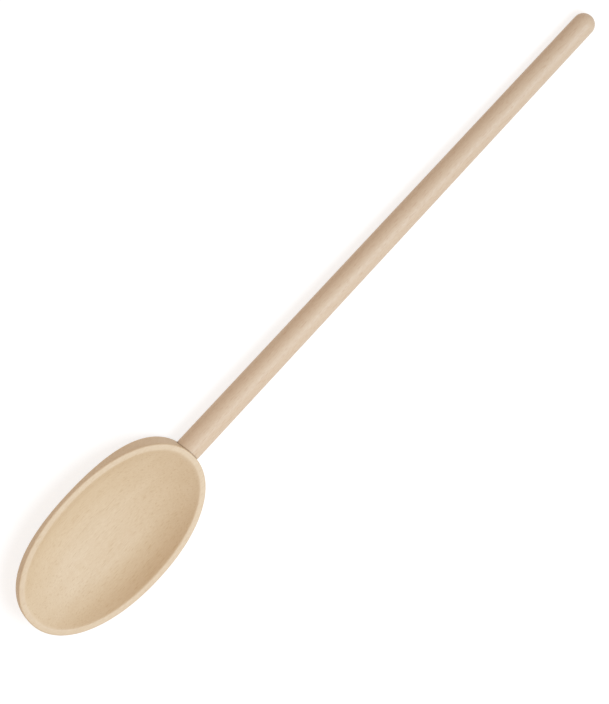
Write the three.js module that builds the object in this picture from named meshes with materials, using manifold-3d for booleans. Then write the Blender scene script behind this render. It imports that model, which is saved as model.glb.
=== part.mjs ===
// A wooden serving spoon: a carved oval head and a turned handle, glued together on a spigot.
// Millimetres, +Z up. It lies as on a table, bowl up, with its handle along +X.

import * as THREE from 'three';
import { ParametricGeometry } from 'three/addons/geometries/ParametricGeometry.js';
import { mergeVertices } from 'three/addons/utils/BufferGeometryUtils.js';
import Module from 'manifold-3d';

// Rim of the head from above: an oval, where a squareness of 2 is an ellipse and more is squarer
const RIM_LENGTH = 113;
const RIM_WIDTH = 65;
const RIM_SQUARENESS = 2.13;

// Section of the rim: a flat land between two rounded edges
const RIM_LAND = 1.9;
const RIM_OUTER_ROUND = 0.7;
const RIM_INNER_ROUND = 0.8;

// Hollow of the bowl: its depth below the rim, and how full its curve is across and along the spoon
const HOLLOW_DEPTH = 12.5;
const HOLLOW_FULLNESS_ACROSS = 4;
const HOLLOW_FULLNESS_ALONG = 2.5;

// Back of the bowl: a dome, deepest at a place between the middle of the bowl and the heel. The dome
// alone would run out by the margins outside the tip and the sides of the rim. A fullness of 2 is
// round and more is flatter underneath.
const BACK_DEPTH = 17.5;
const DOME_SHIFT = 18;
const DOME_TIP_MARGIN = 8;
const DOME_SIDE_MARGIN = 2.9;
const DOME_FULLNESS = 2.9;

// Outside wall of the bowl, which falls from the rim and is rounded off into the dome
const WALL_STEEPNESS = 6;
const WALL_ROUND = 20;

// Handle: a round stick that tapers to a domed end, set below the plane of the rim
const HANDLE_REACH = 287;
const HANDLE_DIAMETER = 13;
const HANDLE_TIP_DIAMETER = 11.2;
const HANDLE_DROP = 8.1;

// Glued joint: the heel has a sunk seat for the handle's end, round a spigot that fills a bore in it.
// The wall is the wood that is left in the handle round the bore.
const SEAT_DEPTH = 3.2;
const HANDLE_WALL = 2.1;
const SPIGOT_LENGTH = 24;
const SPIGOT_ROOT = 2;
const SPIGOT_CHAMFER = 0.8;
const GLUE_THICKNESS = 0.3;
const JOINT_CLEARANCE = 0.3;

// How finely the round surfaces are divided
const HEAD_SIDES = 80;
const HOLLOW_RINGS = 13;
const BACK_RINGS = 14;
const BACK_CROWDING = 4;
const EDGE_STEPS = 3;
const HANDLE_SIDES = 48;
const DOME_STEPS = 7;

const HEAD_COLOUR = 0xdccaa9;
const HANDLE_COLOUR = 0xdcc6aa;
const GLUE_COLOUR = 0xd2b47c;

const wasm = await Module();
wasm.setup();

const { lerp } = THREE.MathUtils;

// A closed three.js surface as a solid that can be joined and cut
function solidOf(geometry) {
  const bare = new THREE.BufferGeometry();
  bare.setAttribute('position', geometry.getAttribute('position'));
  bare.setIndex(geometry.getIndex());
  const welded = mergeVertices(bare);
  const corners = welded.getIndex().array;
  const triangles = [];
  for (let i = 0; i < corners.length; i += 3) {
    const [a, b, c] = corners.slice(i, i + 3);
    const collapsed = a === b || b === c || c === a;
    if (!collapsed) triangles.push(a, b, c);
  }
  return new wasm.Manifold(new wasm.Mesh({
    numProp: 3,
    vertProperties: welded.getAttribute('position').array,
    triVerts: new Uint32Array(triangles),
  }));
}

// A solid as a three.js geometry
function geometryOf(solid) {
  const { vertProperties, triVerts } = solid.getMesh();
  const geometry = new THREE.BufferGeometry();
  geometry.setAttribute('position', new THREE.BufferAttribute(vertProperties, 3));
  geometry.setIndex(new THREE.BufferAttribute(triVerts, 1));
  geometry.computeVertexNormals();
  return geometry;
}

// Head. Its own frame has the middle of the bowl at the origin and the rim's land at z = 0.
// Angles go round the bowl from the handle's side.

// A point on an oval round the bowl, inset from the rim's outline and then shrunk to a share of itself
function ovalPoint(angle, inset, share, depth) {
  const along = Math.cos(angle);
  const across = Math.sin(angle);
  const norm = Math.abs(along) ** RIM_SQUARENESS + Math.abs(across) ** RIM_SQUARENESS;
  const reach = share * norm ** (-1 / RIM_SQUARENESS);
  return new THREE.Vector3(
    (RIM_LENGTH / 2 - inset) * reach * along,
    (RIM_WIDTH / 2 - inset) * reach * across,
    -depth,
  );
}

// The hollow meets the plane of the land at its corner, which the inner round then softens
const HOLLOW_INSET = RIM_OUTER_ROUND + RIM_LAND + RIM_INNER_ROUND / 2;
const HOLLOW_EDGE_SHARE = 1 - RIM_INNER_ROUND / 2 / (RIM_WIDTH / 2 - HOLLOW_INSET);

function hollowPoint(angle, share) {
  const fullness = lerp(HOLLOW_FULLNESS_ALONG, HOLLOW_FULLNESS_ACROSS, Math.sin(angle) ** 2);
  return ovalPoint(angle, HOLLOW_INSET, share, HOLLOW_DEPTH * (1 - share ** fullness));
}

// The lesser of two depths, with the corner between them rounded off
function roundedLesser(a, b, round) {
  const overlap = Math.max(round - Math.abs(a - b), 0) / round;
  return Math.min(a, b) - round * overlap ** 3 / 6;
}

// The back starts where the outer round of the rim ends
const DOME_HEIGHT = BACK_DEPTH - RIM_OUTER_ROUND;
const DOME_HALF_LENGTH = RIM_LENGTH / 2 + DOME_SHIFT + DOME_TIP_MARGIN;
const DOME_HALF_WIDTH = RIM_WIDTH / 2 + DOME_SIDE_MARGIN;

function backPoint(angle, share) {
  const point = ovalPoint(angle, 0, share, RIM_OUTER_ROUND);
  const along = Math.abs(point.x - DOME_SHIFT) / DOME_HALF_LENGTH;
  const across = Math.abs(point.y) / DOME_HALF_WIDTH;
  const dome = DOME_HEIGHT * (1 - along ** DOME_FULLNESS - across ** DOME_FULLNESS);
  const wall = (DOME_HEIGHT + WALL_ROUND) * (1 - share ** 2) ** (1 / WALL_STEEPNESS);
  point.z -= Math.max(roundedLesser(dome, wall, WALL_ROUND), 0);
  return point;
}

function roundedPoint(from, corner, to, t) {
  return new THREE.QuadraticBezierCurve3(from, corner, to).getPoint(t);
}

function innerEdgePoint(angle, t) {
  const hollow = hollowPoint(angle, HOLLOW_EDGE_SHARE);
  const corner = ovalPoint(angle, HOLLOW_INSET, 1, 0);
  const land = ovalPoint(angle, RIM_OUTER_ROUND + RIM_LAND, 1, 0);
  return roundedPoint(hollow, corner, land, t);
}

function outerEdgePoint(angle, t) {
  const land = ovalPoint(angle, RIM_OUTER_ROUND, 1, 0);
  const corner = ovalPoint(angle, 0, 1, 0);
  const wall = ovalPoint(angle, 0, 1, RIM_OUTER_ROUND);
  return roundedPoint(land, corner, wall, t);
}

// Rings of the head's surface, from the bottom of the hollow, over the rim, to the bottom of the back
function headRings() {
  const rings = [];
  for (let i = 0; i < HOLLOW_RINGS; i++) {
    const share = HOLLOW_EDGE_SHARE * i / HOLLOW_RINGS;
    rings.push((angle) => hollowPoint(angle, share));
  }
  for (let i = 0; i <= EDGE_STEPS; i++) {
    rings.push((angle) => innerEdgePoint(angle, i / EDGE_STEPS));
  }
  for (let i = 0; i <= EDGE_STEPS; i++) {
    rings.push((angle) => outerEdgePoint(angle, i / EDGE_STEPS));
  }
  // These shares crowd towards the wall, where the back curves most
  for (let i = 1; i <= BACK_RINGS; i++) {
    const turn = i / BACK_RINGS * Math.PI / 2;
    const share = (1 - Math.sin(turn) ** BACK_CROWDING) ** (1 / BACK_CROWDING);
    rings.push((angle) => backPoint(angle, share));
  }
  return rings;
}

function headSurface() {
  const rings = headRings();
  const last = rings.length - 1;
  const place = (u, v, target) => {
    const ring = rings[Math.round(v * last)];
    target.copy(ring(-2 * Math.PI * u));
  };
  return new ParametricGeometry(place, HEAD_SIDES, last);
}

// Handle and joint. Along is measured outwards from the end of the rim, on the handle's own axis.

// What fills the joint between two faces of wood: the glue, with a clearance on each side of it
const JOINT_GAP = JOINT_CLEARANCE + GLUE_THICKNESS + JOINT_CLEARANCE;

const BORE_RADIUS = HANDLE_DIAMETER / 2 - HANDLE_WALL;
const SPIGOT_RADIUS = BORE_RADIUS - JOINT_GAP;

const SEAT_ALONG = -SEAT_DEPTH;
const HANDLE_END_ALONG = SEAT_ALONG + JOINT_GAP;
const SPIGOT_END_ALONG = SEAT_ALONG + SPIGOT_LENGTH;
const BORE_END_ALONG = SPIGOT_END_ALONG + JOINT_GAP;

// A solid of revolution from a profile of [radius, along], with its axis turned to lie along +X
function turned(profile) {
  const points = profile.map(([radius, along]) => new THREE.Vector2(radius, along));
  return new THREE.LatheGeometry(points, HANDLE_SIDES).rotateZ(-Math.PI / 2);
}

// The seat that is sunk into the heel for the handle's end, cut from well outside it
function seatSurface() {
  const radius = HANDLE_DIAMETER / 2 + JOINT_CLEARANCE;
  const outside = HANDLE_DIAMETER;
  return turned([
    [0, SEAT_ALONG],
    [radius, SEAT_ALONG],
    [radius, outside],
    [0, outside],
  ]);
}

// The spigot runs back into the heel by its root, so that the two are one piece of wood
function spigotSurface() {
  return turned([
    [0, SEAT_ALONG - SPIGOT_ROOT],
    [SPIGOT_RADIUS, SEAT_ALONG - SPIGOT_ROOT],
    [SPIGOT_RADIUS, SPIGOT_END_ALONG - SPIGOT_CHAMFER],
    [SPIGOT_RADIUS - SPIGOT_CHAMFER, SPIGOT_END_ALONG],
    [0, SPIGOT_END_ALONG],
  ]);
}

function handleSurface() {
  const tipRadius = HANDLE_TIP_DIAMETER / 2;
  const domeCentre = HANDLE_REACH - tipRadius;
  const profile = [
    [0, BORE_END_ALONG],
    [BORE_RADIUS, BORE_END_ALONG],
    [BORE_RADIUS, HANDLE_END_ALONG],
    [HANDLE_DIAMETER / 2, HANDLE_END_ALONG],
    [HANDLE_DIAMETER / 2, 0],
  ];
  for (let i = 0; i <= DOME_STEPS; i++) {
    const turn = i / DOME_STEPS * Math.PI / 2;
    const radius = i < DOME_STEPS ? tipRadius * Math.cos(turn) : 0;
    profile.push([radius, domeCentre + tipRadius * Math.sin(turn)]);
  }
  return turned(profile);
}

// The glue is a cap over the spigot with a flange under the handle's end
function glueSurface() {
  const innerRadius = SPIGOT_RADIUS + JOINT_CLEARANCE;
  const outerRadius = innerRadius + GLUE_THICKNESS;
  const flangeRadius = HANDLE_DIAMETER / 2;
  const foot = SEAT_ALONG + JOINT_CLEARANCE;
  const top = SPIGOT_END_ALONG + JOINT_CLEARANCE;
  return turned([
    [0, top],
    [innerRadius, top],
    [innerRadius, foot],
    [flangeRadius, foot],
    [flangeRadius, foot + GLUE_THICKNESS],
    [outerRadius, foot + GLUE_THICKNESS],
    [outerRadius, top + GLUE_THICKNESS],
    [0, top + GLUE_THICKNESS],
  ]);
}

// Assembly

function wood(colour) {
  return new THREE.MeshStandardMaterial({ color: colour, roughness: 0.6, metalness: 0 });
}

function named(name, geometry, material) {
  const mesh = new THREE.Mesh(geometry, material);
  mesh.name = name;
  return mesh;
}

// The handle leans down just enough for its end to lie on the table with the back of the bowl
const tipDrop = BACK_DEPTH - HANDLE_DROP - HANDLE_TIP_DIAMETER / 2;
const lean = Math.asin(tipDrop / (HANDLE_REACH - HANDLE_TIP_DIAMETER / 2));

const stem = new THREE.Group();
stem.position.set(RIM_LENGTH / 2, 0, -HANDLE_DROP);
stem.rotation.y = lean;
stem.updateMatrix();

const seat = solidOf(seatSurface().applyMatrix4(stem.matrix));
const spigot = solidOf(spigotSurface().applyMatrix4(stem.matrix));
const headSolid = solidOf(headSurface()).subtract(seat).add(spigot);

const glue = new THREE.MeshStandardMaterial({ color: GLUE_COLOUR, roughness: 0.4, metalness: 0 });
stem.add(
  named('handle', geometryOf(solidOf(handleSurface())), wood(HANDLE_COLOUR)),
  named('glue_film', geometryOf(solidOf(glueSurface())), glue),
);

const spoon = new THREE.Group();
spoon.add(named('spoon_head', geometryOf(headSolid), wood(HEAD_COLOUR)), stem);

// The origin is under the middle of the spoon's length, on the table
const extent = new THREE.Box3().setFromObject(spoon, true);
spoon.position.set(-(extent.min.x + extent.max.x) / 2, 0, -extent.min.z);

export default spoon;
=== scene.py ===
import math

import bpy
from mathutils import Matrix, Vector


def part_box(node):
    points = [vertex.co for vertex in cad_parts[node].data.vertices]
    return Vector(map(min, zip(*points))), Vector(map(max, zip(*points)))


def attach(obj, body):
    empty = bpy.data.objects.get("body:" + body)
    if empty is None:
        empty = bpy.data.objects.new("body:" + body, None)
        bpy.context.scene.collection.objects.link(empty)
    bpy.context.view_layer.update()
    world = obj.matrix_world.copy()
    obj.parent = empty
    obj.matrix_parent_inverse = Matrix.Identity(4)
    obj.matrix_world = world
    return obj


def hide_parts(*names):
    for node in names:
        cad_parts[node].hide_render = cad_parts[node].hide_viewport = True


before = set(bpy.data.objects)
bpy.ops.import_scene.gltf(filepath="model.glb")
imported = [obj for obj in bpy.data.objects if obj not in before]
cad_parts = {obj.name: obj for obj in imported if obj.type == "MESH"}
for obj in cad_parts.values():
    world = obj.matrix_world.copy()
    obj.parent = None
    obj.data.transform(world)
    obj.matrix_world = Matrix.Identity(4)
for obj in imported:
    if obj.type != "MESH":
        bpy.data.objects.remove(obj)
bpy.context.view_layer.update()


# Spoon head
# The head is the bowl end of the spoon: one piece of beech, hollowed out on top with a cutter, shaped
# round below and sanded. Its rim is flat with softened edges, and its steep heel has a sunk seat with
# a round spigot, which the handle is glued on.

# Metres. The rim is an oval, where a squareness of 2 is an ellipse and more is squarer.
RIM_LENGTH = 0.113
RIM_WIDTH = 0.065
RIM_SQUARENESS = 2.13
RIM_LAND = 0.0019
RIM_OUTER_ROUND = 0.0007
RIM_INNER_ROUND = 0.0008

# A fullness of 2 is round, and more is flatter in the middle with steeper sides
HOLLOW_DEPTH = 0.0125
HOLLOW_FULLNESS_ACROSS = 4.0
HOLLOW_FULLNESS_ALONG = 2.5

# The back is a dome, deepest this far from the rim's middle towards the heel. At the tip and the sides
# it would run out past the rim by these margins, but a steep wall under the rim is rounded into it.
DOME_SHIFT = 0.018
DOME_TIP_MARGIN = 0.008
DOME_SIDE_MARGIN = 0.0029
DOME_FULLNESS = 2.9
WALL_STEEPNESS = 6.0
WALL_ROUND = 0.020

# The handle's axis starts below the end of the rim, by the drop, and leans down to the table
HANDLE_DIAMETER = 0.013
HANDLE_TIP_DIAMETER = 0.0112
HANDLE_REACH = 0.287
HANDLE_DROP = 0.0081
SEAT_DEPTH = 0.0032
SEAT_CLEARANCE = 0.00018
SPIGOT_DIAMETER = 0.007
SPIGOT_LENGTH = 0.024
SPIGOT_ROOT = 0.002

head_low, head_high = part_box("spoon_head")
rim_centre = Vector((head_low.x + RIM_LENGTH / 2, 0, head_high.z))
back_depth = head_high.z - head_low.z
joint_point = rim_centre + Vector((RIM_LENGTH / 2, 0, -HANDLE_DROP))
tip_drop = joint_point.z - HANDLE_TIP_DIAMETER / 2
handle_lean = math.asin(tip_drop / (HANDLE_REACH - HANDLE_TIP_DIAMETER / 2))
handle_way = Vector((math.cos(handle_lean), 0, -math.sin(handle_lean)))

HEAD_PALE = "#e5d3b6"
HEAD_BROWN = "#cdb28a"
HEAD_BOARD = (0, 0, 0)


def linear(colour):
    """The linear colour of an sRGB hex value."""
    channels = [int(colour[i:i + 2], 16) / 255 for i in (1, 3, 5)]
    return [c / 12.92 if c <= 0.04045 else ((c + 0.055) / 1.055) ** 2.4 for c in channels] + [1]


def add(tree, kind, feeds=(), **settings):
    """Add a node with its settings, and feed its inputs, by place or by name, with values or nodes."""
    node = tree.nodes.new(kind)
    for name, value in settings.items():
        setattr(node, name, value)
    for key, feed in feeds.items() if isinstance(feeds, dict) else enumerate(feeds):
        source = feed.outputs[0] if isinstance(feed, bpy.types.Node) else feed
        if isinstance(source, bpy.types.NodeSocket):
            tree.links.new(source, node.inputs[key])
        else:
            node.inputs[key].default_value = source
    return node


# A noise texture hardly goes beyond these two values
NOISE_LOW, NOISE_HIGH = 0.3, 0.7


def sanded_beech(name, pale, brown, board):
    """Plain beech, sanded and left bare: matt and pale, with faint bands, short ray flecks and fine
    fibres that all run along X. The board says where in the wood the piece was cut."""
    # The width and length of each pattern, and its detail. Real flecks are about 0.2 mm wide, and real
    # fibres are far finer, so both are drawn coarser here, to show.
    BAND = (0.007, 0.15, 2)
    FLECK = (0.0006, 0.004, 1)
    FIBRE = (0.0004, 0.002, 2)
    FIBRE_HEIGHT = 0.00002
    FIBRE_RELIEF = 0.4

    # A fleck fades in between two values of its noise. Each pattern browns the wood by its own share,
    # and all of it is then taken back by the same amount.
    FLECK_FROM, FLECK_FULL = 0.58, 0.72
    BAND_SHARE, FLECK_SHARE, FIBRE_SHARE = 0.5, 0.35, 0.65
    PALER = 0.28

    # The roughness of the pale fibres and of the brown ones, which are a little duller
    SMOOTH, DULL = 0.45, 0.57
    BEECH_IOR = 1.5

    material = bpy.data.materials.new(name)
    material.use_nodes = True
    tree = material.node_tree
    shader = tree.nodes["Principled BSDF"]
    shader.inputs["IOR"].default_value = BEECH_IOR
    place = add(tree, "ShaderNodeTexCoord").outputs["Object"]

    patterns = []
    for width, length, detail in (BAND, FLECK, FIBRE):
        stretch = (width / length, 1, 1)
        grain = add(tree, "ShaderNodeMapping", {"Vector": place, "Location": board, "Scale": stretch})
        noise = {"Vector": grain, "Scale": 1 / width, "Detail": detail}
        patterns.append(add(tree, "ShaderNodeTexNoise", noise))
    bands, flecks, fibres = patterns
    flecks = add(tree, "ShaderNodeMapRange", [flecks, FLECK_FROM, FLECK_FULL])

    # A Mix node of colours takes the share in input 0 and the colours in 6 and 7, and gives output 2
    depth = add(tree, "ShaderNodeMath", [bands, BAND_SHARE, -PALER], operation="MULTIPLY_ADD")
    depth = add(tree, "ShaderNodeMath", [flecks, FLECK_SHARE, depth], operation="MULTIPLY_ADD")
    depth = add(tree, "ShaderNodeMath", [fibres, FIBRE_SHARE, depth], operation="MULTIPLY_ADD")
    wood_colours = {6: linear(pale), 7: linear(brown)}
    colour = add(tree, "ShaderNodeMix", {0: depth, **wood_colours}, data_type="RGBA")
    tree.links.new(colour.outputs[2], shader.inputs["Base Color"])

    dull = add(tree, "ShaderNodeMapRange", [fibres, NOISE_LOW, NOISE_HIGH, SMOOTH, DULL])
    tree.links.new(dull.outputs[0], shader.inputs["Roughness"])
    ridges = {"Height": fibres, "Strength": FIBRE_RELIEF, "Distance": FIBRE_HEIGHT}
    relief = add(tree, "ShaderNodeBump", ridges)
    tree.links.new(relief.outputs[0], shader.inputs["Normal"])
    return material


def tint(material, share, colour):
    """Mix a colour into the material's own, by a share that a node gives."""
    tree = material.node_tree
    base = tree.nodes["Principled BSDF"].inputs["Base Color"]
    own = base.links[0].from_socket
    mixed = add(tree, "ShaderNodeMix", {0: share, 6: own, 7: linear(colour)}, data_type="RGBA")
    tree.links.new(mixed.outputs[2], base)


def shape_tree(name, sizes):
    """A Geometry Nodes tree with a named input for each size, and those inputs' sockets."""
    tree = bpy.data.node_groups.new(name, "GeometryNodeTree")
    for label, value in sizes.items():
        kind = "NodeSocketInt" if isinstance(value, int) else "NodeSocketFloat"
        tree.interface.new_socket(label, in_out="INPUT", socket_type=kind)
    tree.interface.new_socket("Geometry", in_out="OUTPUT", socket_type="NodeSocketGeometry")
    return tree, add(tree, "NodeGroupInput").outputs


def finish_tree(tree, mesh, material):
    """Smooth the mesh where it curves, keep its real edges crisp, and give it its material."""
    CRISP_ANGLE = math.radians(35)
    angle = add(tree, "GeometryNodeInputMeshEdgeAngle")
    curved = add(tree, "ShaderNodeMath", [angle, CRISP_ANGLE], operation="LESS_THAN")
    mesh = add(tree, "GeometryNodeSetShadeSmooth", {0: mesh, 2: True}, domain="FACE")
    mesh = add(tree, "GeometryNodeSetShadeSmooth", {0: mesh, 2: curved}, domain="EDGE")
    mesh = add(tree, "GeometryNodeRealizeInstances", {0: mesh})
    mesh = add(tree, "GeometryNodeSetMaterial", {0: mesh, "Material": material})
    add(tree, "NodeGroupOutput", {0: mesh})


def grown_piece(name, tree, sizes):
    """A piece whose plain mesh is what the tree makes of these sizes."""
    piece = bpy.data.objects.new(name, bpy.data.meshes.new(name))
    bpy.context.scene.collection.objects.link(piece)
    modifier = piece.modifiers.new("shape", "NODES")
    modifier.node_group = tree
    for item in tree.interface.items_tree:
        if item.in_out == "INPUT":
            modifier[item.identifier] = sizes[item.name]
    evaluated = piece.evaluated_get(bpy.context.evaluated_depsgraph_get())
    mesh = bpy.data.meshes.new_from_object(evaluated)
    piece.modifiers.remove(modifier)
    piece.data = mesh
    return piece


def on_handle_axis(along):
    """The point on the handle's axis that lies this far out from the end of the rim."""
    return joint_point + handle_way * along


def rod(tree, radius, start, end):
    """A round rod on the handle's axis, between two places along it."""
    ROD_SIDES = 96
    sizes = {"Vertices": ROD_SIDES, "Radius": radius, "Depth": end - start}
    body = add(tree, "GeometryNodeMeshCylinder", sizes)
    turn = (0, math.pi / 2 + handle_lean, 0)
    middle = on_handle_axis((start + end) / 2)
    return add(tree, "GeometryNodeTransform", {0: body, "Translation": middle, "Rotation": turn})


head_sizes = {
    "Rim length": RIM_LENGTH,
    "Rim width": RIM_WIDTH,
    "Rim squareness": RIM_SQUARENESS,
    "Hollow inset": RIM_OUTER_ROUND + RIM_LAND + RIM_INNER_ROUND / 2,
    "Inner round": RIM_INNER_ROUND,
    "Outer round": RIM_OUTER_ROUND,
    "Hollow depth": HOLLOW_DEPTH,
    "Fullness across": HOLLOW_FULLNESS_ACROSS,
    "Fullness along": HOLLOW_FULLNESS_ALONG,
    "Back depth": back_depth,
    "Dome shift": DOME_SHIFT,
    "Dome half length": RIM_LENGTH / 2 + DOME_SHIFT + DOME_TIP_MARGIN,
    "Dome half width": RIM_WIDTH / 2 + DOME_SIDE_MARGIN,
    "Dome fullness": DOME_FULLNESS,
    "Wall steepness": WALL_STEEPNESS,
    "Wall round": WALL_ROUND,
    "Sides": 256,
}

# The head's skin is one sheet, rolled up round the bowl: across the sheet goes round the rim, and up
# the sheet goes from the bottom of the hollow, over the land and its outer round, to the bottom of
# the back. These are the rings of the sheet in each of those four stretches. The rings of the back
# crowd together under the rim, where the wall is steep.
HOLLOW_RINGS = 60
LAND_RINGS = 10
ROUND_RINGS = 6
BACK_RINGS = 64
BACK_CROWDING = 4

# A quarter turn, and how close two points are when they are welded into one
QUARTER = math.pi / 2
WELD = 1e-6

tree, size = shape_tree("carved_head", head_sizes)
all_rings = HOLLOW_RINGS + LAND_RINGS + ROUND_RINGS + BACK_RINGS
land_at = HOLLOW_RINGS / all_rings
round_at = land_at + LAND_RINGS / all_rings
back_at = round_at + ROUND_RINGS / all_rings

columns = add(tree, "ShaderNodeMath", [size["Sides"], 1], operation="ADD")
sheet = add(tree, "GeometryNodeMeshGrid", [1, 1, columns, all_rings + 1])
across = add(tree, "ShaderNodeSeparateXYZ", [sheet.outputs["UV Map"]])
up = across.outputs["Y"]
angle = add(tree, "ShaderNodeMath", [across, 2 * math.pi], operation="MULTIPLY")
cosine = add(tree, "ShaderNodeMath", [angle], operation="COSINE")
sine = add(tree, "ShaderNodeMath", [angle], operation="SINE")
lengthwise = add(tree, "ShaderNodeMath", [cosine], operation="ABSOLUTE")
crosswise = add(tree, "ShaderNodeMath", [sine], operation="ABSOLUTE")

# Where along each stretch a ring is
in_hollow = add(tree, "ShaderNodeMapRange", [up, 0, land_at, 0, QUARTER])
on_land = add(tree, "ShaderNodeMapRange", [up, land_at, round_at, 0, 1])
in_round = add(tree, "ShaderNodeMapRange", [up, round_at, back_at, 0, QUARTER])
on_back = add(tree, "ShaderNodeMapRange", [up, back_at, 1, 0, QUARTER])

# How far in from the rim's outline the ring's oval starts: the hollow's inset, less the land that
# has been crossed and the outer round. The rings of the land are closest at the hollow's edge.
land_span = [size["Hollow inset"], size["Outer round"]]
land_width = add(tree, "ShaderNodeMath", land_span, operation="SUBTRACT")
on_land = add(tree, "ShaderNodeMath", [on_land, on_land], operation="MULTIPLY")
crossed = add(tree, "ShaderNodeMath", [on_land, land_width], operation="MULTIPLY")
inset = add(tree, "ShaderNodeMath", [size["Hollow inset"], crossed], operation="SUBTRACT")
turned_out = add(tree, "ShaderNodeMath", [in_round], operation="SINE")
turned_out = add(tree, "ShaderNodeMath", [turned_out, size["Outer round"]], operation="MULTIPLY")
inset = add(tree, "ShaderNodeMath", [inset, turned_out], operation="SUBTRACT")

# The oval itself
half_length = add(tree, "ShaderNodeMath", [size["Rim length"], 0.5], operation="MULTIPLY")
half_length = add(tree, "ShaderNodeMath", [half_length, inset], operation="SUBTRACT")
half_width = add(tree, "ShaderNodeMath", [size["Rim width"], 0.5], operation="MULTIPLY")
half_width = add(tree, "ShaderNodeMath", [half_width, inset], operation="SUBTRACT")
long_power = add(tree, "ShaderNodeMath", [lengthwise, size["Rim squareness"]], operation="POWER")
cross_power = add(tree, "ShaderNodeMath", [crosswise, size["Rim squareness"]], operation="POWER")
powers = add(tree, "ShaderNodeMath", [long_power, cross_power], operation="ADD")
root = add(tree, "ShaderNodeMath", [-1, size["Rim squareness"]], operation="DIVIDE")
reach = add(tree, "ShaderNodeMath", [powers, root], operation="POWER")
oval_x = add(tree, "ShaderNodeMath", [half_length, cosine], operation="MULTIPLY")
oval_y = add(tree, "ShaderNodeMath", [half_width, sine], operation="MULTIPLY")
oval = add(tree, "ShaderNodeCombineXYZ", [oval_x, oval_y])
oval = add(tree, "ShaderNodeVectorMath", {0: oval, "Scale": reach}, operation="SCALE")
radius = add(tree, "ShaderNodeVectorMath", [oval], operation="LENGTH").outputs["Value"]

# The hollow's depth runs on past its edge with the edge's slope, and turns negative there, so that a
# smooth maximum with the land rounds the edge over by the same width all the way round
hollow_share = add(tree, "ShaderNodeMath", [in_hollow], operation="SINE")
sideways = add(tree, "ShaderNodeMath", [sine, sine], operation="MULTIPLY")
fullness_range = [size["Fullness along"], size["Fullness across"]]
fullness = add(tree, "ShaderNodeMapRange", [sideways, 0, 1, *fullness_range])
rise = add(tree, "ShaderNodeMath", [hollow_share, fullness], operation="POWER")
sunk = add(tree, "ShaderNodeMath", [1, rise], operation="SUBTRACT")
sunk = add(tree, "ShaderNodeMath", [sunk, size["Hollow depth"]], operation="MULTIPLY")
slope = add(tree, "ShaderNodeMath", [fullness, size["Hollow depth"]], operation="MULTIPLY")
slope = add(tree, "ShaderNodeMath", [slope, radius], operation="DIVIDE")
run_on = add(tree, "ShaderNodeMath", [crossed, slope], operation="MULTIPLY")
sunk = add(tree, "ShaderNodeMath", [sunk, run_on], operation="SUBTRACT")
softness = add(tree, "ShaderNodeMath", [slope, size["Inner round"]], operation="MULTIPLY")
top_depth = add(tree, "ShaderNodeMath", [sunk, 0, softness], operation="SMOOTH_MAX")

# The outer round drops by its own size
round_drop = add(tree, "ShaderNodeMath", [in_round], operation="COSINE")
round_drop = add(tree, "ShaderNodeMath", [1, round_drop], operation="SUBTRACT")
round_drop = add(tree, "ShaderNodeMath", [round_drop, size["Outer round"]], operation="MULTIPLY")

# Where the sheet's points are from above: the rings of the back close in under the bowl
closed_in = add(tree, "ShaderNodeMath", [on_back], operation="SINE")
closed_in = add(tree, "ShaderNodeMath", [closed_in, BACK_CROWDING], operation="POWER")
back_share = add(tree, "ShaderNodeMath", [1, closed_in], operation="SUBTRACT")
back_share = add(tree, "ShaderNodeMath", [back_share], operation="SQRT")
share = add(tree, "ShaderNodeMath", [hollow_share, back_share], operation="MULTIPLY")
plan = add(tree, "ShaderNodeVectorMath", {0: oval, "Scale": share}, operation="SCALE")

# The back is a dome, deepest towards the heel
dome_span = [size["Back depth"], size["Outer round"]]
dome_height = add(tree, "ShaderNodeMath", dome_span, operation="SUBTRACT")
dome_along = add(tree, "ShaderNodeSeparateXYZ", [plan])
dome_across = dome_along.outputs["Y"]
dome_across = add(tree, "ShaderNodeMath", [dome_across], operation="ABSOLUTE")
dome_across = add(tree, "ShaderNodeMath", [dome_across, size["Dome half width"]], operation="DIVIDE")
dome_across = add(tree, "ShaderNodeMath", [dome_across, size["Dome fullness"]], operation="POWER")
dome_along = add(tree, "ShaderNodeMath", [dome_along, size["Dome shift"]], operation="SUBTRACT")
dome_along = add(tree, "ShaderNodeMath", [dome_along], operation="ABSOLUTE")
dome_along = add(tree, "ShaderNodeMath", [dome_along, size["Dome half length"]], operation="DIVIDE")
dome_along = add(tree, "ShaderNodeMath", [dome_along, size["Dome fullness"]], operation="POWER")
risen = add(tree, "ShaderNodeMath", [dome_along, dome_across], operation="ADD")
dome = add(tree, "ShaderNodeMath", [1, risen], operation="SUBTRACT")
dome = add(tree, "ShaderNodeMath", [dome, dome_height], operation="MULTIPLY")

# The outside wall falls steeply from the rim, and is rounded off into the dome
wall_fall = add(tree, "ShaderNodeMath", [dome_height, size["Wall round"]], operation="ADD")
steepness = add(tree, "ShaderNodeMath", [1, size["Wall steepness"]], operation="DIVIDE")
wall = add(tree, "ShaderNodeMath", [closed_in, steepness], operation="POWER")
wall = add(tree, "ShaderNodeMath", [wall, wall_fall], operation="MULTIPLY")
back_drop = add(tree, "ShaderNodeMath", [dome, wall, size["Wall round"]], operation="SMOOTH_MIN")
back_drop = add(tree, "ShaderNodeMath", [back_drop, 0], operation="MAXIMUM")

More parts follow.
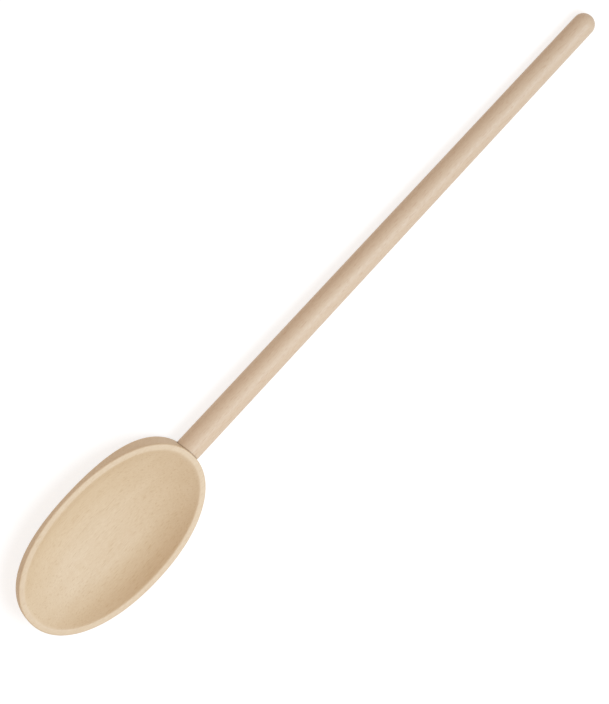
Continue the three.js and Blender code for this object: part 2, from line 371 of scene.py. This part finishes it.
# Each point is let down from the rim by all of these, and close points are welded
drop = add(tree, "ShaderNodeMath", [top_depth, round_drop], operation="ADD")
drop = add(tree, "ShaderNodeMath", [drop, back_drop], operation="ADD")
lift = add(tree, "ShaderNodeMath", [drop, -1], operation="MULTIPLY")
lift = add(tree, "ShaderNodeCombineXYZ", {"Z": lift})
point = add(tree, "ShaderNodeVectorMath", [plan, lift], operation="ADD")
point = add(tree, "ShaderNodeVectorMath", [point, rim_centre], operation="ADD")
skin = add(tree, "GeometryNodeSetPosition", {0: sheet, "Position": point})
skin = add(tree, "GeometryNodeMergeByDistance", {0: skin, "Distance": WELD})

# The seat is bored into the heel on the handle's axis, and the spigot is rooted in the seat's floor
seat_radius = HANDLE_DIAMETER / 2 + SEAT_CLEARANCE
seat = rod(tree, seat_radius, -SEAT_DEPTH, HANDLE_DIAMETER)
spigot = rod(tree, SPIGOT_DIAMETER / 2, -SEAT_DEPTH - SPIGOT_ROOT, SPIGOT_LENGTH - SEAT_DEPTH)
seated = add(tree, "GeometryNodeMeshBoolean", [skin, seat], operation="DIFFERENCE", solver="EXACT")

# A union takes all its bodies in one socket
carved = add(tree, "GeometryNodeMeshBoolean", {1: seated}, operation="UNION", solver="EXACT")
tree.links.new(spigot.outputs[0], carved.inputs[1])

# The seat's circle crosses the seam of the sheet, where the cut leaves hair-thin faces to close up
carved = add(tree, "GeometryNodeMergeByDistance", {0: carved, "Distance": WELD})

head_beech = sanded_beech("head_sanded_beech", HEAD_PALE, HEAD_BROWN, HEAD_BOARD)
finish_tree(tree, carved, head_beech)

spoon_head = grown_piece("carved_spoon_head", tree, head_sizes)
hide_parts("spoon_head")
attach(spoon_head, "root")

# A painted highlight: the rim is tinted paler towards its top, over just under a millimetre of height,
# standing in for the light it catches
RIM_HIGHLIGHT = "#efdfc6"
RIM_HIGHLIGHT_STRENGTH = 0.3
HIGHLIGHT_DEPTH = 0.0009
tree = head_beech.node_tree
height = add(tree, "ShaderNodeTexCoord").outputs["Object"]
height = add(tree, "ShaderNodeSeparateXYZ", [height]).outputs["Z"]
highlight_from = rim_centre.z - HIGHLIGHT_DEPTH
painted_highlight = add(tree, "ShaderNodeMapRange", [height, highlight_from, rim_centre.z, 0, RIM_HIGHLIGHT_STRENGTH])
tint(head_beech, painted_highlight, RIM_HIGHLIGHT)


# Glue film
# Cured wood glue, a thin cap over the spigot with a flange under the handle's end. It is squeezed out
# evenly when the joint is pressed home, and is hidden once the spoon is together.

GLUE_AMBER = "#d8bd86"
GLUE_CLOUDY = "#e9dcbd"
GLUE_IOR = 1.47
GLUE_SHINY, GLUE_SATIN = 0.3, 0.42
CLOUD_SIZE, CLOUD_DETAIL = 0.003, 3
CLOUD_FROM, CLOUD_FULL = 0.4, 0.7
BUBBLE_SIZE = 0.0004
BUBBLE_HEIGHT = 0.00003
BUBBLE_RELIEF = 0.3

# Cured wood glue is a hard satin film: amber, with cloudy patches and the dimples of fine bubbles
cured_glue = bpy.data.materials.new("cured_wood_glue")
cured_glue.use_nodes = True
tree = cured_glue.node_tree
shader = tree.nodes["Principled BSDF"]
shader.inputs["IOR"].default_value = GLUE_IOR
place = add(tree, "ShaderNodeTexCoord").outputs["Object"]
patches = {"Vector": place, "Scale": 1 / CLOUD_SIZE, "Detail": CLOUD_DETAIL}
clouds = add(tree, "ShaderNodeTexNoise", patches)
cloudy = add(tree, "ShaderNodeMapRange", [clouds, CLOUD_FROM, CLOUD_FULL])
glue_colours = {6: linear(GLUE_AMBER), 7: linear(GLUE_CLOUDY)}
colour = add(tree, "ShaderNodeMix", {0: cloudy, **glue_colours}, data_type="RGBA")
tree.links.new(colour.outputs[2], shader.inputs["Base Color"])
satin = add(tree, "ShaderNodeMapRange", [clouds, NOISE_LOW, NOISE_HIGH, GLUE_SHINY, GLUE_SATIN])
tree.links.new(satin.outputs[0], shader.inputs["Roughness"])
bubbles = add(tree, "ShaderNodeTexVoronoi", {"Vector": place, "Scale": 1 / BUBBLE_SIZE})
pits = {"Height": bubbles, "Strength": BUBBLE_RELIEF, "Distance": BUBBLE_HEIGHT}
dimples = add(tree, "ShaderNodeBump", pits)
tree.links.new(dimples.outputs[0], shader.inputs["Normal"])

glue_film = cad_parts["glue_film"]
glue_film.data.materials.clear()
glue_film.data.materials.append(cured_glue)


# Handle
# The handle is a beech stick, turned round with a slight taper to a domed end, sanded and left bare.
# Its other end is bored out and glued on the head's spigot.

BORE_DIAMETER = 0.0088
BORE_DEPTH = 0.0246
END_GAP = 0.0007
END_ROUND = 0.0002
HANDLE_PALE = "#e5d4bc"
HANDLE_BROWN = "#cdaf90"
HANDLE_BOARD = (0, 0.4, 0.2)

handle_sizes = {
    "Length": HANDLE_REACH + SEAT_DEPTH - END_GAP,
    "Diameter": HANDLE_DIAMETER,
    "Tip diameter": HANDLE_TIP_DIAMETER,
    "End round": END_ROUND,
    "Sides": 96,
}

# Rings along the handle: over the softened end, down the taper and round the dome
END_RINGS = 4
TAPER_RINGS = 40
DOME_RINGS = 20

tree, size = shape_tree("turned_handle", handle_sizes)
dome_at = END_RINGS + TAPER_RINGS
last_ring = dome_at + DOME_RINGS
ring = add(tree, "GeometryNodeSplineParameter").outputs["Index"]
in_end = add(tree, "ShaderNodeMapRange", [ring, 0, END_RINGS, 0, QUARTER])
on_taper = add(tree, "ShaderNodeMapRange", [ring, END_RINGS, dome_at, 0, 1])
in_dome = add(tree, "ShaderNodeMapRange", [ring, dome_at, last_ring, 0, QUARTER])
tip_radius = add(tree, "ShaderNodeMath", [size["Tip diameter"], 0.5], operation="MULTIPLY")
end_radius = add(tree, "ShaderNodeMath", [size["Diameter"], 0.5], operation="MULTIPLY")

# How thick the handle is at each ring
thick = add(tree, "ShaderNodeMapRange", [on_taper, 0, 1, end_radius, tip_radius])
domed = add(tree, "ShaderNodeMath", [in_dome], operation="COSINE")
thick = add(tree, "ShaderNodeMath", [thick, domed], operation="MULTIPLY")
eased = add(tree, "ShaderNodeMath", [in_end], operation="SINE")
eased = add(tree, "ShaderNodeMath", [1, eased], operation="SUBTRACT")
eased = add(tree, "ShaderNodeMath", [eased, size["End round"]], operation="MULTIPLY")
thick = add(tree, "ShaderNodeMath", [thick, eased], operation="SUBTRACT")

# How far along the handle each ring is
straight = add(tree, "ShaderNodeMath", [size["Length"], tip_radius], operation="SUBTRACT")
straight = add(tree, "ShaderNodeMath", [straight, size["End round"]], operation="SUBTRACT")
along = add(tree, "ShaderNodeMath", [on_taper, straight], operation="MULTIPLY")
eased = add(tree, "ShaderNodeMath", [in_end], operation="COSINE")
eased = add(tree, "ShaderNodeMath", [1, eased], operation="SUBTRACT")
along = add(tree, "ShaderNodeMath", [eased, size["End round"], along], operation="MULTIPLY_ADD")
domed = add(tree, "ShaderNodeMath", [in_dome], operation="SINE")
along = add(tree, "ShaderNodeMath", [domed, tip_radius, along], operation="MULTIPLY_ADD")
axis_point = add(tree, "ShaderNodeCombineXYZ", {"X": along})

# The rings are strung on a straight line, which is then laid on the handle's axis and bored
axis = add(tree, "GeometryNodeCurvePrimitiveLine", {"End": (1, 0, 0)})
axis = add(tree, "GeometryNodeResampleCurve", {0: axis, "Count": last_ring + 1})
axis = add(tree, "GeometryNodeSetPosition", {0: axis, "Position": axis_point})
section = add(tree, "GeometryNodeCurvePrimitiveCircle", {"Resolution": size["Sides"], "Radius": 1})
stick = add(tree, "GeometryNodeCurveToMesh", {0: axis, 1: section, "Scale": thick, "Fill Caps": True})
stick = add(tree, "GeometryNodeMergeByDistance", {0: stick, "Distance": WELD})
handle_start = END_GAP - SEAT_DEPTH
start_point = on_handle_axis(handle_start)
lean = (0, handle_lean, 0)
laid = {0: stick, "Translation": start_point, "Rotation": lean}
stick = add(tree, "GeometryNodeTransform", laid)
bore = rod(tree, BORE_DIAMETER / 2, handle_start - END_GAP, handle_start + BORE_DEPTH)
bored = add(tree, "GeometryNodeMeshBoolean", [stick, bore], operation="DIFFERENCE", solver="EXACT")
handle_beech = sanded_beech("handle_sanded_beech", HANDLE_PALE, HANDLE_BROWN, HANDLE_BOARD)
finish_tree(tree, bored, handle_beech)

handle = grown_piece("turned_handle", tree, handle_sizes)
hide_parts("handle")
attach(handle, "root")

# Painted shade: the handle is tinted a little darker and greyer towards its end, as the light falls
# off along it
TIP_SHADE = "#b0a494"
TIP_SHADE_STRENGTH = 0.22
tree = handle_beech.node_tree
along = add(tree, "ShaderNodeTexCoord").outputs["Object"]
along = add(tree, "ShaderNodeSeparateXYZ", [along])
shade_to = joint_point.x + HANDLE_REACH
tip_shade = add(tree, "ShaderNodeMapRange", [along, joint_point.x, shade_to, 0, TIP_SHADE_STRENGTH])
tint(handle_beech, tip_shade, TIP_SHADE)

# A painted shadow: a dark hairline of shade is painted on the handle where it goes into the head. It
# lies along the rim's oval, where the share is 1, and fades out just beyond it.
JOINT_SHADOW = "#7d5b3c"
JOINT_SHADOW_STRENGTH = 0.75
JOINT_SHADOW_WIDTH = 0.0007
place = add(tree, "ShaderNodeTexCoord").outputs["Object"]
place = add(tree, "ShaderNodeVectorMath", [place, rim_centre], operation="SUBTRACT")
rim_reach = (RIM_LENGTH / 2, RIM_WIDTH / 2, 1)
place = add(tree, "ShaderNodeVectorMath", [place, rim_reach], operation="DIVIDE")
place = add(tree, "ShaderNodeVectorMath", [place], operation="ABSOLUTE")
place = add(tree, "ShaderNodeSeparateXYZ", [place])
along = add(tree, "ShaderNodeMath", [place, RIM_SQUARENESS], operation="POWER")
across = add(tree, "ShaderNodeMath", [place.outputs["Y"], RIM_SQUARENESS], operation="POWER")
share = add(tree, "ShaderNodeMath", [along, across], operation="ADD")
share = add(tree, "ShaderNodeMath", [share, 1 / RIM_SQUARENESS], operation="POWER")
line_end = 1 + JOINT_SHADOW_WIDTH / (RIM_LENGTH / 2)
joint_shade = add(tree, "ShaderNodeMapRange", [share, 1, line_end, JOINT_SHADOW_STRENGTH, 0])
tint(handle_beech, joint_shade, JOINT_SHADOW)


# Floor
# A plain white table that the spoon lies on. The camera sees it white, with the spoon's soft shadow,
# and it throws light back up at the spoon, as white paint does.

FLOOR_SIZE = 6.0
FLOOR_GLOW = 0.8
FLOOR_LIT = "#989898"
FLOOR_BOUNCE = "#ece8e4"

# What is seen of the table is lit grey with a glow added, which is white wherever no shadow falls
white_table = bpy.data.materials.new("white_table")
white_table.use_nodes = True
tree = white_table.node_tree
tree.nodes.clear()
ray = add(tree, "ShaderNodeLightPath")
lit = add(tree, "ShaderNodeBsdfDiffuse", {"Color": linear(FLOOR_LIT)})
glow = add(tree, "ShaderNodeEmission", {"Strength": FLOOR_GLOW})
seen = add(tree, "ShaderNodeAddShader", [lit, glow])
bounced = add(tree, "ShaderNodeBsdfDiffuse", {"Color": linear(FLOOR_BOUNCE)})
camera_ray, glossy_ray = ray.outputs["Is Camera Ray"], ray.outputs["Is Glossy Ray"]
shown = add(tree, "ShaderNodeMath", [camera_ray, glossy_ray], operation="MAXIMUM")
shown = add(tree, "ShaderNodeMath", [shown, ray.outputs["Is Transmission Ray"]], operation="MAXIMUM")
table = add(tree, "ShaderNodeMixShader", [shown, bounced, seen])
add(tree, "ShaderNodeOutputMaterial", {"Surface": table})

half = FLOOR_SIZE / 2
corners = [(-half, -half, 0), (half, -half, 0), (half, half, 0), (-half, half, 0)]
floor_mesh = bpy.data.meshes.new("floor")
floor_mesh.from_pydata(corners, [], [(0, 1, 2, 3)])
floor_mesh.materials.append(white_table)
floor = bpy.data.objects.new("floor", floor_mesh)
bpy.context.scene.collection.objects.link(floor)


# Camera
# The photograph looks down at the spoon from the bowl's left, with the handle going up to the right.
# The camera stands far off and has a long lens, so that the handle hardly draws in with distance.

VIEW_ELEVATION = math.radians(65)
HANDLE_SLANT = math.radians(46.75)
VIEW_DISTANCE = 3.0
VIEW_END = 50
FRAME_HEIGHT = 0.3399

# The middle of the picture, from the middle of the rim, along and across the spoon as it is seen
FRAME_ALONG = 0.1297
FRAME_ACROSS = -0.00525

towards_camera = Vector((0, math.cos(VIEW_ELEVATION), math.sin(VIEW_ELEVATION)))
seen_along = Vector((1, 0, 0))
seen_across = towards_camera.cross(seen_along)
image_right = seen_along * math.cos(HANDLE_SLANT) - seen_across * math.sin(HANDLE_SLANT)
image_up = seen_along * math.sin(HANDLE_SLANT) + seen_across * math.cos(HANDLE_SLANT)
aim = rim_centre + seen_along * FRAME_ALONG + seen_across * FRAME_ACROSS

camera = bpy.data.objects.new("camera", bpy.data.cameras.new("camera"))
bpy.context.scene.collection.objects.link(camera)
camera.data.clip_end = VIEW_END

# The picture is upright, so the sensor's width goes to its height
camera.data.lens = camera.data.sensor_width * VIEW_DISTANCE / FRAME_HEIGHT
turn = Matrix((image_right, image_up, towards_camera)).transposed().to_4x4()
camera.matrix_world = Matrix.Translation(aim + towards_camera * VIEW_DISTANCE) @ turn
bpy.context.scene.camera = camera


# Light
# A wide, soft and rather cool light almost overhead, a little to the right of the picture, in a room
# that is warm and even all round and looks white.

KEY_FROM = Vector((0.16, -0.25, 0.95))
KEY_DISTANCE = 1.6
KEY_SIZE = 1.0
KEY_POWER = 18.0
KEY_COLOUR = "#d7eeff"
ROOM_STRENGTH = 0.545
ROOM_COLOUR = "#ffdec2"
ROOM_WHITE = "#ffffff"

key = bpy.data.objects.new("key_light", bpy.data.lights.new("key_light", "AREA"))
bpy.context.scene.collection.objects.link(key)
key.data.size = KEY_SIZE
key.data.shape = "DISK"
key.data.energy = KEY_POWER
key.data.color = linear(KEY_COLOUR)[:3]
key.location = KEY_FROM.normalized() * KEY_DISTANCE
key.rotation_mode = "QUATERNION"
key.rotation_quaternion = (-KEY_FROM).to_track_quat("-Z", "Y")

# The camera and the reflections see the room white, and its warm colour only lights the spoon
room = bpy.data.worlds.new("white_room")
bpy.context.scene.world = room
room.use_nodes = True
tree = room.node_tree
tree.nodes.clear()
ray = add(tree, "ShaderNodeLightPath")
camera_ray, glossy_ray = ray.outputs["Is Camera Ray"], ray.outputs["Is Glossy Ray"]
shown = add(tree, "ShaderNodeMath", [camera_ray, glossy_ray], operation="MAXIMUM")
shown = add(tree, "ShaderNodeMath", [shown, ray.outputs["Is Transmission Ray"]], operation="MAXIMUM")
white = add(tree, "ShaderNodeBackground", {"Color": linear(ROOM_WHITE)})
sky = add(tree, "ShaderNodeBackground", {"Color": linear(ROOM_COLOUR), "Strength": ROOM_STRENGTH})
room_seen = add(tree, "ShaderNodeMixShader", [shown, sky, white])
add(tree, "ShaderNodeOutputWorld", {"Surface": room_seen})

bpy.context.scene.view_settings.view_transform = "Standard"
